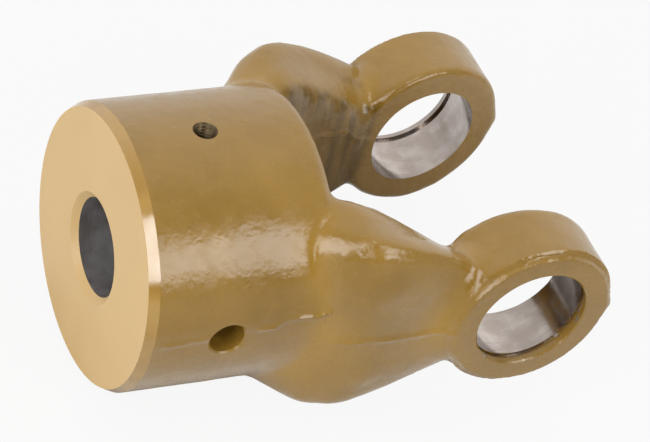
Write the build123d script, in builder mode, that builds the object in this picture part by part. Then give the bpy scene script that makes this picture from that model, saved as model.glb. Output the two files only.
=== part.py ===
from build123d import *
import math
import os

os.makedirs("parts", exist_ok=True)

# Standard sizes the yoke is made to, in millimetres
cup_d = 30.2
cross_span = 80.0
shaft_d = 25.0
pin_d = 9.0
screw_d = 6.0
screw_pitch = 1.0

# Overall sizes
hub_d = 72.5
joint_to_end = 103.4
throat_depth = 53.0
ear_thick = 17.7
ear_wall = 7.8

# Small machined details
groove_w = 1.6
groove_depth = 0.9
lip_w = 1.6
cup_chamfer = 0.4
bore_chamfer = 1.6
pin_chamfer = 0.5
end_chamfer_axial = 2.6
end_chamfer_radial = 1.3
holes_from_end = 22.4

# Forging values
ear_draft = 5.0
nose_reach = 0.8
nose_rise = 1.0
ear_round = 2.0
root_round = 3.5
neck_round = 3.0

hub_r = hub_d / 2
cup_r = cup_d / 2
ear_r = cup_r + ear_wall
face_y = cross_span / 2 + groove_w + lip_w
inner_y = face_y - ear_thick
slope = math.tan(math.radians(ear_draft))


def inner_at(x):
    return inner_y + slope * x


def rounded_corners(points, radius):
    """Points along a closed outline whose corners are rounded, with one more on each straight side."""
    arcs = []
    for index, point in enumerate(points):
        corner = Vector(*point)
        to_last = (Vector(*points[index - 1]) - corner).normalized()
        to_next = (Vector(*points[(index + 1) % len(points)]) - corner).normalized()
        half = math.acos(to_last.dot(to_next)) / 2
        inward = (to_last + to_next).normalized()
        start = corner + to_last * (radius / math.tan(half))
        crown = corner + inward * (radius / math.sin(half) - radius)
        finish = corner + to_next * (radius / math.tan(half))
        arcs.append((start, crown, finish))
    found = []
    for index, arc in enumerate(arcs):
        found.extend(arc)
        found.append((arc[2] + arcs[(index + 1) % len(arcs)][0]) * 0.5)
    return found


# One ear ring with a blunt nose, its inner face drafted
nose_x = ear_r + nose_reach
nose_angle = math.degrees(math.atan2(nose_rise, nose_x))
nose_half = math.degrees(math.acos(ear_r / math.hypot(nose_x, nose_rise)))
with BuildPart() as ear:
    with BuildSketch(Plane.XZ.offset(-face_y)):
        Circle(ear_r)
        with BuildLine():
            Polyline(
                (0, 0),
                Vector(ear_r, 0).rotate(Axis.Z, nose_angle + nose_half),
                (nose_x, nose_rise),
                Vector(ear_r, 0).rotate(Axis.Z, nose_angle - nose_half),
                (0, 0),
            )
        make_face()
    extrude(amount=ear_thick + 3 * ear_round)
    with BuildSketch(Plane.XY.offset(-2 * ear_r)):
        with BuildLine():
            Polyline(
                (-2 * ear_r, inner_at(-2 * ear_r)),
                (2 * ear_r, inner_at(2 * ear_r)),
                (2 * ear_r, inner_y - ear_thick),
                (-2 * ear_r, inner_y - ear_thick),
                (-2 * ear_r, inner_at(-2 * ear_r)),
            )
        make_face()
    extrude(amount=4 * ear_r, mode=Mode.SUBTRACT)
    fillet(ear.edges(), ear_round)

# Stations of one arm, from inside the hub to inside the ear ring. Place is 0 in the ear and 1 at the throat.
# The hub share says how far a station follows the hub's radius, and the rest follows the ear.
# Then outer face, inner face, top outside, bottom outside, top inside, bottom inside, corner
ear_entry = 0.54 * ear_r
stations = [
    (1.605, 1.0, 0.460, 0.216, 0.360, 0.620, 0.280, 0.550, 0.120),
    (1.426, 1.0, 0.660, 0.274, 0.500, 0.740, 0.450, 0.660, 0.160),
    (1.248, 1.0, 0.820, 0.311, 0.620, 0.830, 0.600, 0.740, 0.210),
    (1.079, 1.0, 0.989, 0.388, 0.720, 0.870, 0.740, 0.770, 0.213),
    (0.909, 0.5, 1.022, 0.624, 0.968, 1.017, 0.980, 0.895, 0.220),
    (0.722, 0.3, 1.014, 0.793, 1.051, 1.038, 0.957, 0.876, 0.205),
    (0.516, 0.1, 0.964, 0.943, 1.077, 1.047, 0.837, 0.837, 0.190),
    (0.320, 0.0, 0.923, 1.000, 1.013, 0.997, 0.633, 0.760, 0.170),
    (0.177, 0.0, 0.915, 1.030, 0.886, 0.886, 0.475, 0.665, 0.160),
    (0.000, 0.0, 0.898, 1.118, 0.712, 0.744, 0.348, 0.570, 0.150),
]
with BuildPart() as arm:
    for place, hub_share, outer, inner, top_out, low_out, top_in, low_in, corner in stations:
        x = -ear_entry - place * (throat_depth - ear_entry)
        outer_y = outer * (hub_share * hub_r + (1 - hub_share) * face_y)
        near_y = inner * (hub_share * hub_r + (1 - hub_share) * inner_at(x))
        height = hub_share * hub_r + (1 - hub_share) * ear_r
        corners = [
            (near_y, -low_in * height),
            (outer_y, -low_out * height),
            (outer_y, top_out * height),
            (near_y, top_in * height),
        ]
        with BuildSketch(Plane.YZ.offset(x)):
            with BuildLine():
                Spline(*rounded_corners(corners, corner * height), periodic=True)
            make_face()
    loft()


def beside(solid, edge):
    return [face.geom_type for face in solid.faces() if any(edge.is_same(e) for e in face.edges())]


def on_throat(edge):
    return all(abs(edge.position_at(share).X + throat_depth) < 0.01 for share in (0, 0.5, 1))


with BuildPart() as forged_yoke:
    with BuildSketch(Plane.YZ.offset(-joint_to_end)):
        Circle(hub_r)
    extrude(amount=joint_to_end - throat_depth)
    add(arm)
    add(mirror(arm.part, about=Plane.XZ))

    # Blend the shoulders into the hub and round the throat of the fork
    body = forged_yoke.part
    roots = [
        edge
        for edge in body.edges()
        if on_throat(edge) or {GeomType.BSPLINE, GeomType.CYLINDER} <= set(beside(body, edge))
    ]
    fillet(roots, root_round)

    # Ear rings, blended into the necks of the arms
    add(ear)
    add(mirror(ear.part, about=Plane.XZ))
    body = forged_yoke.part
    necks = [
        edge
        for edge in body.edges()
        if -1.05 * ear_r < edge.center().X < -0.4 * ear_r
        and set(beside(body, edge)) == {GeomType.BSPLINE, GeomType.CYLINDER}
    ]
    fillet(necks, neck_round)

    # Chamfer on the free end of the hub
    with BuildSketch(Plane.XZ):
        with BuildLine():
            Polyline(
                (-joint_to_end, hub_r - end_chamfer_radial),
                (-joint_to_end + end_chamfer_axial, hub_r),
                (-joint_to_end + end_chamfer_axial, hub_r + 2),
                (-joint_to_end - 1, hub_r + 2),
                (-joint_to_end - 1, hub_r - end_chamfer_radial),
                close=True,
            )
        make_face()
    revolve(axis=Axis.X, mode=Mode.SUBTRACT)

    # Shaft bore with its chamfered mouth
    with BuildSketch(Plane.XZ):
        with BuildLine():
            Polyline(
                (-joint_to_end - 1, 0),
                (-joint_to_end - 1, shaft_d / 2 + bore_chamfer + 1),
                (-joint_to_end + bore_chamfer, shaft_d / 2),
                (-throat_depth - bore_chamfer / 2, shaft_d / 2),
                (-throat_depth + 1, shaft_d / 2 + bore_chamfer / 2 + 1),
                (-throat_depth + 1, 0),
                close=True,
            )
        make_face()
    revolve(axis=Axis.X, mode=Mode.SUBTRACT)

    # Cup bores through both ears, their snap-ring grooves and chamfered mouths
    with BuildSketch(Plane.XY):
        with BuildLine():
            Polyline(
                (0, -face_y - 1),
                (cup_r + cup_chamfer + 1, -face_y - 1),
                (cup_r, -face_y + cup_chamfer),
                (cup_r, -cross_span / 2 - groove_w),
                (cup_r + groove_depth, -cross_span / 2 - groove_w),
                (cup_r + groove_depth, -cross_span / 2),
                (cup_r, -cross_span / 2),
                (cup_r, cross_span / 2),
                (cup_r + groove_depth, cross_span / 2),
                (cup_r + groove_depth, cross_span / 2 + groove_w),
                (cup_r, cross_span / 2 + groove_w),
                (cup_r, face_y - cup_chamfer),
                (cup_r + cup_chamfer + 1, face_y + 1),
                (0, face_y + 1),
                close=True,
            )
        make_face()
    revolve(axis=Axis.Y, mode=Mode.SUBTRACT)

    # Cross-pin hole along the ear axis and tapped set-screw hole from above
    holes_x = -joint_to_end + holes_from_end
    with Locations(Location((holes_x, 0, 0), (90, 0, 0))):
        Cylinder(pin_d / 2, 2 * hub_r + 4, mode=Mode.SUBTRACT)
    for side in (1, -1):
        with Locations(Location((holes_x, side * hub_r, 0), (-90 * side, 0, 0))):
            Cone(pin_d / 2 - 2, pin_d / 2 + pin_chamfer + 2.5, 4.5 + pin_chamfer, mode=Mode.SUBTRACT)
    with Locations(Location((holes_x, 0, 0))):
        Cylinder((screw_d - screw_pitch) / 2, hub_r + 2, align=(Align.CENTER, Align.CENTER, Align.MIN), mode=Mode.SUBTRACT)

forged_yoke.part.label = "forged_yoke"
export_step(forged_yoke.part, "parts/forged_yoke.step")
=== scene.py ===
import math

import bmesh
import bpy
import numpy as np
from mathutils import Matrix, Vector, noise


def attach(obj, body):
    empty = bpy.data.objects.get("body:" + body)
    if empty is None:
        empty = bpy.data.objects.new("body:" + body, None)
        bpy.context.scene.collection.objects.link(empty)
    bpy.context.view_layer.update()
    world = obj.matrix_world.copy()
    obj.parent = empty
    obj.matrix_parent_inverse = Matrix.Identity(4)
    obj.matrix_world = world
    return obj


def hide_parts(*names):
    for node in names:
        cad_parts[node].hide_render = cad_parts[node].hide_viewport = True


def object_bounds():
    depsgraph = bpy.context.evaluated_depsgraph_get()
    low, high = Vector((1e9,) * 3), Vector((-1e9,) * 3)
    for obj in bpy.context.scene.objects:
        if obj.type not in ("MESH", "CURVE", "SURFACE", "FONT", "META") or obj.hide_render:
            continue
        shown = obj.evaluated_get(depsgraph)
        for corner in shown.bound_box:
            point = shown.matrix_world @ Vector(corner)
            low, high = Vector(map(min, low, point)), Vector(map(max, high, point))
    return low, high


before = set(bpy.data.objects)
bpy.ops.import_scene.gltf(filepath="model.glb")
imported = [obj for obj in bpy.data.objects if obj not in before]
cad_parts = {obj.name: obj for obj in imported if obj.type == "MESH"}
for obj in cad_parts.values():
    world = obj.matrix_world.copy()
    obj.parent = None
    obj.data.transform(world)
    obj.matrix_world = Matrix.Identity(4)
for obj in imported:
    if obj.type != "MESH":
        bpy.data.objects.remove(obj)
cad_box = [[float(v) for v in corner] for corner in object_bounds()]

MM = 0.001

# Sizes of the yoke, as in the CAD model, in millimetres
HUB_R = 36.25
HUB_END = -103.4
THROAT = -53.0
SHAFT_R = 12.5
SHAFT_CHAMFER = 1.6
CUP_R = 15.1
CUP_CHAMFER = 0.4
PIN_R = 4.5
PIN_CHAMFER = 0.5
CORE_R = 2.5
SCREW_R = 3.0
SCREW_PITCH = 1.0
FACE_Y = 43.2
GROOVE_Y = 40.0
GROOVE_W = 1.6
GROOVE_R = 16.0
INNER_Y = 25.5
SLOPE = math.tan(math.radians(5))
HOLES_X = -81.0
END_AXIAL = 2.6
END_RADIAL = 1.3

# Values of the picture model alone: the grain of the skin, how far a filling plug stands wider than its hole,
# and the worn mouth of the pin hole
VOXEL = 0.72
PLUG_OVER = 0.4
PIN_WEAR = 1.0

# Material slots
PAINT, FACE_PAINT_AND_SHEEN, EDGE_PAINT, BRIGHT, BORE, HOLE, THREAD = range(7)


def new_object(name, mesh):
    thing = bpy.data.objects.new(name, mesh)
    bpy.context.scene.collection.objects.link(thing)
    return thing


def faced_outward(mesh):
    bm = bmesh.new()
    bm.from_mesh(mesh)
    bmesh.ops.recalc_face_normals(bm, faces=bm.faces)
    bm.to_mesh(mesh)
    bm.free()
    return mesh


def ring_quad(ring, i, j, segments):
    """The face between one ring of points and the next."""
    start = ring * segments
    return (start + i, start + j, start + segments + j, start + segments + i)


def turned(name, profile, axis, segments=128, slots=None):
    """A closed mesh turned about an axis.

    The profile holds (along, radius) in millimetres and runs from axis to axis.
    """
    rings = profile[1:-1]
    verts = []
    for along, radius in rings:
        for i in range(segments):
            angle = 2 * math.pi * i / segments
            verts.append((along, radius * math.cos(angle), radius * math.sin(angle)))
    first = len(verts)
    verts.append((profile[0][0], 0, 0))
    verts.append((profile[-1][0], 0, 0))
    slots = slots or [PAINT] * (len(profile) - 1)
    last = (len(rings) - 1) * segments
    faces = []
    marks = []
    for i in range(segments):
        j = (i + 1) % segments
        faces.append((first, j, i))
        marks.append(slots[0])
        faces.append((first + 1, last + i, last + j))
        marks.append(slots[-1])
        for r in range(len(rings) - 1):
            faces.append(ring_quad(r, i, j, segments))
            marks.append(slots[r + 1])
    order = {"X": (0, 1, 2), "Y": (1, 0, 2), "Z": (2, 1, 0)}[axis]
    points = np.array(verts)[:, order] * MM
    mesh = bpy.data.meshes.new(name)
    mesh.from_pydata(points.tolist(), [], faces)
    mesh.polygons.foreach_set("material_index", marks)
    return faced_outward(mesh)


def thread_cutter(name):
    """A screw-shaped cutter along Z from inside the shaft bore to above the hub."""
    segments = 48
    steps = 10
    low, high = 6.0, HUB_R + 2
    rows = int((high - low) / SCREW_PITCH * steps)
    verts = []
    for k in range(rows + 1):
        z = low + (high - low) * k / rows
        for i in range(segments):
            angle = 2 * math.pi * i / segments
            turn = (z / SCREW_PITCH - i / segments) % 1.0
            depth = min(1.0, max(0.0, 1.15 - 2.6 * abs(turn - 0.5)))
            radius = CORE_R + (SCREW_R - CORE_R) * depth
            if z > HUB_R - 0.8:
                radius = max(radius, SCREW_R + 0.25 - (HUB_R - z))
            verts.append((HOLES_X + radius * math.cos(angle), radius * math.sin(angle), z))
    faces = []
    for k in range(rows):
        for i in range(segments):
            j = (i + 1) % segments
            faces.append(ring_quad(k, i, j, segments))
    faces.append(tuple(range(segments)))
    faces.append(tuple(rows * segments + i for i in range(segments)))
    mesh = bpy.data.meshes.new(name)
    mesh.from_pydata((np.array(verts) * MM).tolist(), [], faces)
    mesh.polygons.foreach_set("material_index", [THREAD] * len(faces))
    return faced_outward(mesh)


def points_of(mesh):
    flat = np.empty(len(mesh.vertices) * 3, np.float32)
    mesh.vertices.foreach_get("co", flat)
    return flat.reshape(-1, 3).astype(float) / MM


def set_points(mesh, points):
    mesh.vertices.foreach_set("co", (points * MM).astype(np.float32).ravel())
    mesh.update()


def applied(thing):
    """The object with its modifiers worked into its mesh."""
    graph = bpy.context.evaluated_depsgraph_get()
    mesh = bpy.data.meshes.new_from_object(thing.evaluated_get(graph), depsgraph=graph)
    thing.modifiers.clear()
    thing.data = mesh
    return thing


def smoothstep(low, high, x):
    t = np.clip((x - low) / (high - low), 0, 1)
    return t * t * (3 - 2 * t)


def waves(points, scale, seed):
    """Smooth noise from -1 to 1 at each point, with swells about one scale across."""
    shift = np.array((17.13, 5.71, 9.37)) * seed
    return np.array([noise.noise(Vector(p)) for p in (points / scale + shift).tolist()])


def averaged(values, link, count, rounds):
    """Values at the points of a mesh, evened out along its edges."""
    for _ in range(rounds):
        total = np.bincount(link[:, 0], values[link[:, 1]], len(values))
        total += np.bincount(link[:, 1], values[link[:, 0]], len(values))
        values = 0.5 * values + 0.5 * total / count
    return values


# The forging before it is machined: the CAD solid with its holes filled, as one even skin
def filled_blank():
    bm = bmesh.new()
    bm.from_mesh(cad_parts["forged_yoke"].data)
    bmesh.ops.remove_doubles(bm, verts=bm.verts, dist=1e-6)
    front = HUB_END - 2.5
    behind_chamfer = HUB_END + 3.4
    core = 15
    fills = [
        turned(
            "fill",
            [
                (front, 0),
                (front, HUB_R),
                (behind_chamfer, HUB_R),
                (behind_chamfer, core),
                (THROAT, core),
                (THROAT, 0),
            ],
            "X",
        )
    ]
    cup = CUP_R + PLUG_OVER
    groove = GROOVE_R + 0.5
    for side in (1, -1):
        plug = turned(
            "fill",
            [
                (0, 0),
                (0, cup),
                (GROOVE_Y - PLUG_OVER, cup),
                (GROOVE_Y - PLUG_OVER, groove),
                (GROOVE_Y + GROOVE_W + PLUG_OVER, groove),
                (GROOVE_Y + GROOVE_W + PLUG_OVER, cup),
                (FACE_Y, cup),
                (FACE_Y, 0),
            ],
            "Y",
        )
        points = points_of(plug)
        inner = points[:, 1] < 1
        points[inner, 1] = INNER_Y + SLOPE * points[inner, 0]
        points[:, 1] *= side
        set_points(plug, points)
        fills.append(faced_outward(plug))
    wide = PIN_R + PIN_CHAMFER + PLUG_OVER
    pin = turned("fill", [(-HUB_R, 0), (-HUB_R, wide), (HUB_R, wide), (HUB_R, 0)], "Y")
    points = points_of(pin)
    points[:, 1] = np.sign(points[:, 1]) * np.sqrt(HUB_R**2 - points[:, 2] ** 2)
    points[:, 0] += HOLES_X
    set_points(pin, points)
    fills.append(pin)
    wide = SCREW_R + 0.6
    screw = turned("fill", [(8, 0), (8, wide), (HUB_R, wide), (HUB_R, 0)], "Z")
    points = points_of(screw)
    top = points[:, 2] > HUB_R - 1
    points[top, 2] = np.sqrt(HUB_R**2 - points[top, 1] ** 2)
    points[:, 0] += HOLES_X
    set_points(screw, points)
    fills.append(screw)
    for fill in fills:
        bm.from_mesh(fill)
    mesh = bpy.data.meshes.new("yoke")
    bm.to_mesh(mesh)
    bm.free()
    blank = new_object("yoke", mesh)
    remesh = blank.modifiers.new("skin", "REMESH")
    remesh.mode = "VOXEL"
    remesh.voxel_size = VOXEL * MM
    relax = blank.modifiers.new("relax", "SMOOTH")
    relax.factor = 0.5
    relax.iterations = 4
    return applied(blank)


yoke = filled_blank()
mesh = yoke.data
points = points_of(mesh)
flat = np.empty(len(mesh.vertices) * 3, np.float32)
mesh.vertices.foreach_get("normal", flat)
normals = flat.reshape(-1, 3).astype(float)
x, y, z = points.T

# Forging unevenness, left off the faces that are machined flat
sideways = np.abs(normals[:, 1])
machined = smoothstep(0.9, 0.99, sideways) * smoothstep(FACE_Y - 1.2, FACE_Y - 0.4, np.abs(y))
machined = np.maximum(machined, smoothstep(HUB_END + 1, HUB_END - 0.5, x))
free = 1 - machined
calm = smoothstep(THROAT - 12, THROAT - 20, x)
rough = free * (1 - 0.5 * calm)
swells = 0.22 * waves(points, 15, 1) + 0.10 * waves(points, 6, 2) + 0.05 * waves(points, 2.6, 3)
lift = rough * (swells - 0.1)

# The parting line: a thin trimmed flash, a small step on the hub and a faint crease along each arm
ARM_START = -55.5
on_hub = x < ARM_START
line = np.where(
    on_hub,
    np.interp(x, (-100, -86, -75, -69, -66, -62, -58, ARM_START), (0.9, 1.3, 2.4, 2.6, 4.1, 4.5, 4.3, 6.0)),
    np.interp(x, (ARM_START, -54, -45, -30, -23, 0, 24), (-3.6, -3.4, -1.3, -2.6, -2.3, 0, 1)),
)
line = line + 0.35 * waves(points, 7, 4)
above = z - line
seam = np.exp(-((above / 0.65) ** 2)) * smoothstep(18, 10, x)
broken = smoothstep(-0.45, 0.1, waves(points, 9, 5))
faces_out = np.sign(normals[:, 1]) == np.sign(y)
outside = smoothstep(0.2, 0.6, sideways * faces_out)
lift += np.where(on_hub & (x > -74), 0.75, 0.4) * seam * broken * outside * free
below = smoothstep(0.3, -0.3, above) * smoothstep(-16, -2, above)
lift -= 0.28 * below * on_hub * outside * free * smoothstep(-102, -97, x)
lift -= np.clip(0.05 * np.abs(above), 0, 0.8) * ~on_hub * outside * free * smoothstep(ARM_START, -50, x)

# The uneven inner side of the arms, with a wandering flash line
inside = smoothstep(0.3, 0.7, sideways * ~faces_out) * smoothstep(-52, -46, x)
inside *= smoothstep(-15, -19, x)
lift += inside * (0.6 * waves(points * (1, 1, 0.5), 5.5, 6) - 0.25)
wander = np.interp(x, (-45, -33, -25, -22, -18), (5.5, 7.4, 6.9, 5.0, 2.0)) + 0.8 * waves(points, 4, 7)
lift += 0.4 * inside * np.exp(-(((z - wander) / 0.5) ** 2))

# How hollow the skin is at each point. Hollows are filled a little, most at the necks,
# and a brighter, richer ochre is painted there as painted bounce light.
link = np.empty(len(mesh.edges) * 2, np.int32)
mesh.edges.foreach_get("vertices", link)
link = link.reshape(-1, 2)
count = np.bincount(link.ravel(), minlength=len(points))
spread = np.stack([averaged(column, link, count, 150) for column in points.T], 1)
sag = ((spread - points) * normals).sum(1)
hollow = np.clip(1.7 * averaged(smoothstep(0.2, 1.2, sag), link, count, 120), 0, 1)
neck = smoothstep(-36, -28, x)
lift += (0.4 + 0.4 * neck) * np.clip(sag, 0, 2.5) * free
# The inner sides of the arms are stored too, as the mask of their painted shade
for name, values in (("hollow", hollow), ("inner_side_shade", inside)):
    layer = mesh.attributes.new(name, "FLOAT", "POINT")
    layer.data.foreach_set("value", values.astype(np.float32))

# The skin stays in the CAD box, but for the hub's end, which is cut back below
points += normals * lift[:, None]
low, high = [np.array(corner) / MM for corner in cad_box]
low[0] -= 3
set_points(mesh, np.clip(points, low, high))

# Machining: each cutter takes a crisp cut out of the uneven forging
names = ("paint", "face_paint_and_sheen", "edge_paint", "bright_steel", "bore_steel", "hole_paint", "thread_steel")
materials = [bpy.data.materials.new(name) for name in names]
mesh.materials.clear()
for material in materials:
    mesh.materials.append(material)
mesh.polygons.foreach_set("material_index", [PAINT] * len(mesh.polygons))

beyond = FACE_Y + 1
mouth = CUP_R + CUP_CHAMFER + 1
pin_mouth = PIN_R + PIN_WEAR + 3
cutters = {
    "end": turned(
        "end",
        [
            (HUB_END - 9, 0),
            (HUB_END - 9, HUB_R + 3),
            (HUB_END + END_AXIAL * (END_RADIAL + 3) / END_RADIAL, HUB_R + 3),
            (HUB_END, HUB_R - END_RADIAL),
            (HUB_END, 0),
        ],
        "X",
        256,
        [PAINT, PAINT, EDGE_PAINT, FACE_PAINT_AND_SHEEN],
    ),
    "shaft": turned(
        "shaft",
        [
            (HUB_END - 1, 0),
            (HUB_END - 1, SHAFT_R + SHAFT_CHAMFER + 1),
            (HUB_END + SHAFT_CHAMFER, SHAFT_R),
            (THROAT - SHAFT_CHAMFER / 2, SHAFT_R),
            (THROAT + 1, SHAFT_R + SHAFT_CHAMFER / 2 + 1),
            (THROAT + 1, 0),
        ],
        "X",
        192,
        [PAINT, FACE_PAINT_AND_SHEEN, BORE, PAINT, PAINT],
    ),
    "cups": turned(
        "cups",
        [
            (-beyond, 0),
            (-beyond, mouth),
            (-FACE_Y + CUP_CHAMFER, CUP_R),
            (-GROOVE_Y - GROOVE_W, CUP_R),
            (-GROOVE_Y - GROOVE_W, GROOVE_R),
            (-GROOVE_Y, GROOVE_R),
            (-GROOVE_Y, CUP_R),
            (GROOVE_Y, CUP_R),
            (GROOVE_Y, GROOVE_R),
            (GROOVE_Y + GROOVE_W, GROOVE_R),
            (GROOVE_Y + GROOVE_W, CUP_R),
            (FACE_Y - CUP_CHAMFER, CUP_R),
            (beyond, mouth),
            (beyond, 0),
        ],
        "Y",
        192,
        [BRIGHT] * 13,
    ),
    "pin": turned(
        "pin",
        [
            (-HUB_R - 3, 0),
            (-HUB_R - 3, pin_mouth),
            (-HUB_R + PIN_WEAR, PIN_R),
            (HUB_R - PIN_WEAR, PIN_R),
            (HUB_R + 3, pin_mouth),
            (HUB_R + 3, 0),
        ],
        "Y",
        96,
        [HOLE] * 5,
    ),
    "thread": thread_cutter("thread"),
}
moved = points_of(cutters["pin"])
moved[:, 0] += HOLES_X
set_points(cutters["pin"], moved)

for name, cutter in cutters.items():
    for material in materials:
        cutter.materials.append(material)
    tool = new_object(name, cutter)
    cut = yoke.modifiers.new(name, "BOOLEAN")
    cut.operation = "DIFFERENCE"
    cut.solver = "MANIFOLD"
    cut.object = tool
applied(yoke)
for name in cutters:
    bpy.data.objects.remove(bpy.data.objects[name])
mesh = yoke.data
mesh.polygons.foreach_set("use_smooth", [True] * len(mesh.polygons))
mesh.set_sharp_from_angle(angle=math.radians(32))

# A crisp edge also where two finishes meet
bm = bmesh.new()
bm.from_mesh(mesh)
for edge in bm.edges:
    if len({face.material_index for face in edge.link_faces}) > 1:
        edge.smooth = False
bm.to_mesh(mesh)
bm.free()


# Materials
def rgb(hexcode):
    """A linear colour from a hex one."""
    parts = [int(hexcode[i : i + 2], 16) / 255 for i in (0, 2, 4)]
    return tuple(c / 12.92 if c < 0.04045 else ((c + 0.055) / 1.055) ** 2.4 for c in parts) + (1.0,)


class Nodes:
    """Short calls for building a material's nodes."""

    def __init__(self, material):
        material.use_nodes = True
        self.tree = material.node_tree
        self.tree.nodes.clear()
        world = isinstance(material, bpy.types.World)
        self.out = self.tree.nodes.new("ShaderNodeOutputWorld" if world else "ShaderNodeOutputMaterial")
        self.coords = self.add("ShaderNodeTexCoord")
        self.place = self.coords.outputs["Object"]

    def add(self, kind, **values):
        node = self.tree.nodes.new(kind)
        for key, value in values.items():
            setattr(node, key, value)
        return node

    def put(self, socket, value):
        if isinstance(value, bpy.types.NodeSocket):
            self.tree.links.new(value, socket)
        else:
            socket.default_value = value

    def noise(self, size, detail=2.0, stretch=None):
        """Noise with grains of about `size` millimetres."""
        vector = self.place
        if stretch:
            scaled = self.add("ShaderNodeVectorMath", operation="MULTIPLY")
            self.put(scaled.inputs[0], vector)
            scaled.inputs[1].default_value = stretch
            vector = scaled.outputs[0]
        node = self.add("ShaderNodeTexNoise")
        self.put(node.inputs["Vector"], vector)
        node.inputs["Scale"].default_value = 1000 / size
        node.inputs["Detail"].default_value = detail
        return node.outputs[0]

    def span(self, value, low, high, to_low=0.0, to_high=1.0):
        node = self.add("ShaderNodeMapRange", interpolation_type="SMOOTHSTEP")
        self.put(node.inputs["Value"], value)
        limits = {"From Min": low, "From Max": high, "To Min": to_low, "To Max": to_high}
        for name, number in limits.items():
            node.inputs[name].default_value = number
        return node.outputs["Result"]

    def math(self, operation, *values):
        node = self.add("ShaderNodeMath", operation=operation)
        for socket, value in zip(node.inputs, values):
            self.put(socket, value)
        return node.outputs[0]

    def mix(self, factor, a, b):
        node = self.add("ShaderNodeMix", data_type="RGBA")
        self.put(node.inputs[0], factor)
        self.put(node.inputs[6], a)
        self.put(node.inputs[7], b)
        return node.outputs[2]

    def bump(self, height, strength, distance):
        """A bump of at most `distance` millimetres."""
        node = self.add("ShaderNodeBump")
        self.put(node.inputs["Height"], height)
        node.inputs["Strength"].default_value = strength
        node.inputs["Distance"].default_value = distance * MM
        return node.outputs[0]

    def axes(self):
        node = self.add("ShaderNodeSeparateXYZ")
        self.put(node.inputs[0], self.place)
        return node.outputs

    def shader(self, **values):
        node = self.add("ShaderNodeBsdfPrincipled")
        for key, value in values.items():
            self.put(node.inputs[key.replace("_", " ")], value)
        return node

    def finish(self, shader):
        self.tree.links.new(shader, self.out.inputs[0])


OCHRE = rgb("8F6D28")
OCHRE_DEEP = rgb("83631F")
OCHRE_LIGHT = rgb("98752F")
OCHRE_PAINTED_BOUNCE = rgb("B58B2D")
OCHRE_PAINTED_SHADE = rgb("5C4510")


def paint_nodes(n):
    broad = n.noise(22, 3.0)
    fine = n.noise(3.5, 3.0)
    colour = n.mix(n.span(broad, 0.35, 0.65), OCHRE_DEEP, OCHRE_LIGHT)
    colour = n.mix(n.span(fine, 0.3, 0.7, 0.35, 0.75), colour, OCHRE)
    hollow = n.add("ShaderNodeAttribute", attribute_name="hollow").outputs["Fac"]
    # Painted bounce light: a brighter, richer ochre in the hollows
    colour = n.mix(hollow, colour, OCHRE_PAINTED_BOUNCE)
    # Painted shade on the inner sides of the arms: a darker ochre, broken into upright streaks
    streaks = n.span(n.noise(2.4, 3.0, stretch=[1.0, 1.0, 0.12]), 0.35, 0.65, 0.3, 0.85)
    inner_side_shade = n.add("ShaderNodeAttribute", attribute_name="inner_side_shade").outputs["Fac"]
    colour = n.mix(n.math("MULTIPLY", inner_side_shade, streaks), colour, OCHRE_PAINTED_SHADE)
    peel = n.noise(1.1, 2.0)
    pits = n.noise(2.6, 4.0)
    height = n.math("ADD", n.math("MULTIPLY", peel, 0.35), pits)
    normal = n.bump(height, 1.0, 0.15)
    roughness = n.span(fine, 0.3, 0.7, 0.19, 0.29)
    return n.shader(Base_Color=colour, Roughness=roughness, Normal=normal, Specular_IOR_Level=0.72)


def paint(material):
    n = Nodes(material)
    n.finish(paint_nodes(n).outputs[0])


def face_paint_and_sheen(material):
    n = Nodes(material)
    broad = n.noise(30, 2.0)
    # A paler, less saturated tan: partly the end face's own finish, partly a painted sheen and painted light
    # standing in for the bright light on the face
    colour = n.mix(n.span(broad, 0.35, 0.65), rgb("C3A26B"), rgb("C7A771"))
    normal = n.bump(n.noise(1.6, 2.0), 0.25, 0.08)
    roughness = n.span(broad, 0.3, 0.7, 0.4, 0.46)
    n.finish(n.shader(Base_Color=colour, Roughness=roughness, Normal=normal).outputs[0])


def edge_paint(material):
    n = Nodes(material)
    broad = n.noise(9, 3.0)
    colour = n.mix(n.span(broad, 0.35, 0.65), rgb("9A7633"), rgb("A5813C"))
    normal = n.bump(n.noise(2.2, 2.0), 0.12, 0.08)
    roughness = n.span(broad, 0.3, 0.7, 0.11, 0.17)
    shader = n.shader(Base_Color=colour, Roughness=roughness, Normal=normal, Specular_IOR_Level=1.0)
    n.finish(shader.outputs[0])


def steel(material, axis, colour, dark, roughness, scratch, metal=1.0, painted=False):
    n = Nodes(material)
    stretch = [0.06, 0.06, 0.06]
    stretch["XYZ".index(axis)] = 1.0
    rings = n.noise(0.5, 3.0, stretch=stretch)
    stain = n.noise(6, 3.0)
    tint = n.mix(n.span(stain, 0.35, 0.7), dark, colour)
    tint = n.mix(n.span(rings, 0.3, 0.7, 0.0, 0.35), tint, dark)
    normal = n.bump(rings, scratch, 0.06)
    rough_rings = n.span(rings, 0.3, 0.7, *roughness)
    metallic = n.shader(Base_Color=tint, Metallic=metal, Roughness=rough_rings, Normal=normal)
    if not painted:
        n.finish(metallic.outputs[0])
        return
    # Paint sprayed past the groove, on the ear nearer the camera
    depth = n.math("MULTIPLY", n.axes()[1], -1.0)
    depth = n.math("ADD", depth, n.math("MULTIPLY_ADD", n.noise(3.5, 3.0), 0.0016, -0.0008))
    patchy = n.span(n.noise(4.0, 2.0), 0.36, 0.42)
    sprayed = n.math("MULTIPLY", n.span(depth, (GROOVE_Y - 0.3) * MM, (GROOVE_Y + 0.4) * MM), patchy)
    cover = n.add("ShaderNodeMixShader")
    n.put(cover.inputs[0], sprayed)
    n.put(cover.inputs[1], metallic.outputs[0])
    n.put(cover.inputs[2], paint_nodes(n).outputs[0])
    n.finish(cover.outputs[0])


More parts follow.
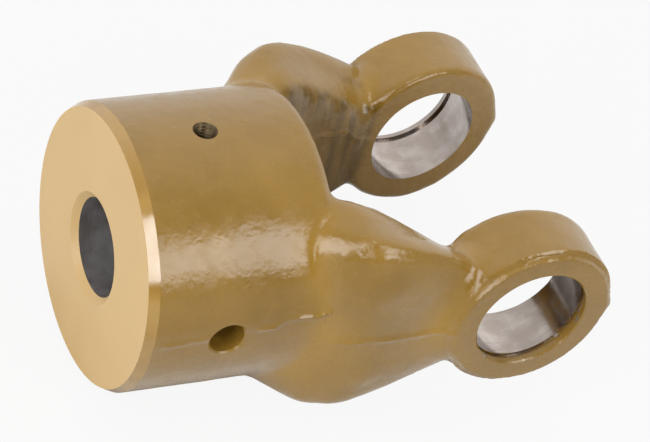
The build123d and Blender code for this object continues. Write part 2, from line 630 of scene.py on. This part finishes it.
paint(materials[PAINT])
face_paint_and_sheen(materials[FACE_PAINT_AND_SHEEN])
edge_paint(materials[EDGE_PAINT])
steel(materials[BRIGHT], "Y", rgb("BBB3AE"), rgb("A0968F"), (0.14, 0.26), 0.25, painted=True)
steel(materials[BORE], "X", rgb("969395"), rgb("75716F"), (0.35, 0.5), 1.0, metal=0.45)
paint(materials[HOLE])
steel(materials[THREAD], "Z", rgb("7A6A50"), rgb("4A3E2C"), (0.35, 0.5), 0.3)

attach(yoke, "root")
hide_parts("forged_yoke")

# Floor
FLOOR_HALF = 3.0
floor_mesh = bpy.data.meshes.new("floor")
floor_z = cad_box[0][2]
corners = [(a * FLOOR_HALF, b * FLOOR_HALF, floor_z) for a, b in ((-1, -1), (1, -1), (1, 1), (-1, 1))]
floor_mesh.from_pydata(corners, [], [(0, 1, 2, 3)])
floor = new_object("floor", floor_mesh)
white = bpy.data.materials.new("white_floor")
floor_mesh.materials.append(white)
n = Nodes(white)
matte = n.add("ShaderNodeBsdfDiffuse")
matte.inputs["Color"].default_value = (0.5, 0.5, 0.5, 1)
glow = n.add("ShaderNodeEmission")
glow.inputs["Color"].default_value = (1, 1, 1, 1)
path = n.add("ShaderNodeLightPath")

# Painted shade on the floor, in mirrored rays only: white, but with a painted shadow under the part and
# painted shade towards the front
mirrored = n.math("MAXIMUM", path.outputs["Is Glossy Ray"], path.outputs["Is Transmission Ray"])
across, along = n.axes()[0], n.axes()[1]
shade = n.span(n.math("ABSOLUTE", along), 0.018, 0.034, 1, 0)
shade = n.math("MULTIPLY", shade, n.span(n.math("ABSOLUTE", n.math("ADD", across, 0.03)), 0.07, 0.10, 1, 0))
lit = n.math("MULTIPLY", n.span(along, -0.105, -0.08), n.math("SUBTRACT", 1.0, shade))
mirrored = n.math("MULTIPLY", mirrored, n.math("MULTIPLY", lit, 0.95))

# The camera sees white with a little of the shadow
seen = n.math("MAXIMUM", n.math("MULTIPLY", path.outputs["Is Camera Ray"], 0.9), mirrored)
blend = n.add("ShaderNodeMixShader")
n.put(blend.inputs[0], seen)
n.put(blend.inputs[1], matte.outputs[0])
n.put(blend.inputs[2], glow.outputs[0])
n.finish(blend.outputs[0])

# World: a bright cove behind the part, a dimmer ceiling and a dark front
world = bpy.data.worlds.new("studio")
bpy.context.scene.world = world
sky = Nodes(world)
sides = sky.add("ShaderNodeSeparateXYZ")
sky.put(sides.inputs[0], sky.coords.outputs["Generated"])
behind = sky.math("MULTIPLY", sides.outputs[0], 0.45)
behind = sky.math("ADD", behind, sky.math("MULTIPLY", sides.outputs[1], 0.89))
cove = sky.span(behind, -0.2, 0.5)
overhead = sky.span(sides.outputs[2], 0.5, 0.9)
level = sky.math("MULTIPLY", cove, sky.math("MULTIPLY_ADD", overhead, -0.6, 1.15))
level = sky.math("ADD", level, sky.math("MULTIPLY", overhead, 0.35))
backdrop = sky.add("ShaderNodeBackground")
backdrop.inputs[0].default_value = (1.0, 0.98, 0.96, 1)
sky.put(backdrop.inputs[1], sky.math("ADD", level, 0.12))
sky.finish(backdrop.outputs[0])


LAMP_AIM = Vector((-0.04, 0, 0))


def lamp(name, direction, distance, width, length, power, along=(0, 0, 1)):
    """A rectangular lamp in metres and watts, in a direction seen from the part."""
    light = bpy.data.lights.new(name, "AREA")
    light.shape = "RECTANGLE"
    light.size = width
    light.size_y = length
    light.energy = power
    thing = bpy.data.objects.new(name, light)
    bpy.context.scene.collection.objects.link(thing)
    aim = Vector(direction).normalized()
    side = Vector(along).cross(aim).normalized()
    turned_to = Matrix((side, aim.cross(side), aim)).transposed().to_4x4()
    turned_to.translation = LAMP_AIM + aim * distance
    thing.matrix_world = turned_to


lamp("key", (-0.89, -0.22, 0.40), 1.0, 0.7, 0.7, 7.2)
lamp("front", (-0.521, -0.629, 0.510), 0.963, 0.045, 0.8, 1.45, along=(-0.03, 0.64, 0.77))
lamp("band", (0.39, -0.80, 0.45), 0.9, 0.5, 0.46, 3.1)
lamp("glint", (-0.05, -0.22, 0.97), 0.9, 0.14, 0.26, 0.5)

# Camera at the photograph's viewing angle, as fitted to the hub and the ear bores.
# The fit is in hub radii, with the scale of the photograph in pixels to a hub radius.
PHOTO_WIDTH = 650
SENSOR = 36.0
PIXELS_PER_HUB_R = 139.90819746
CAMERA_TURN = Vector((2.305408, -0.350977, 0.469809))
CAMERA_SHIFT = Vector((136.77061612, -18.31876221, 0.0))
CAMERA_AWAY = math.exp(3.1337832)

to_camera = Matrix.Rotation(CAMERA_TURN.length, 3, CAMERA_TURN.normalized())
shift = CAMERA_SHIFT / PIXELS_PER_HUB_R * HUB_R * MM
shift.z = CAMERA_AWAY * HUB_R * MM
right, down, ahead = [Vector(row) for row in to_camera]
place = -(to_camera.transposed() @ shift)
camera = bpy.data.cameras.new("camera")
camera.sensor_fit = "HORIZONTAL"
camera.sensor_width = SENSOR
camera.lens = PIXELS_PER_HUB_R * CAMERA_AWAY / PHOTO_WIDTH * SENSOR
camera.clip_start = 0.01
camera.clip_end = 20
seer = bpy.data.objects.new("camera", camera)
bpy.context.scene.collection.objects.link(seer)
pose = Matrix((right, -down, -ahead)).transposed().to_4x4()
pose.translation = place
seer.matrix_world = pose
bpy.context.scene.camera = seer

bpy.context.scene.view_settings.view_transform = "Standard"
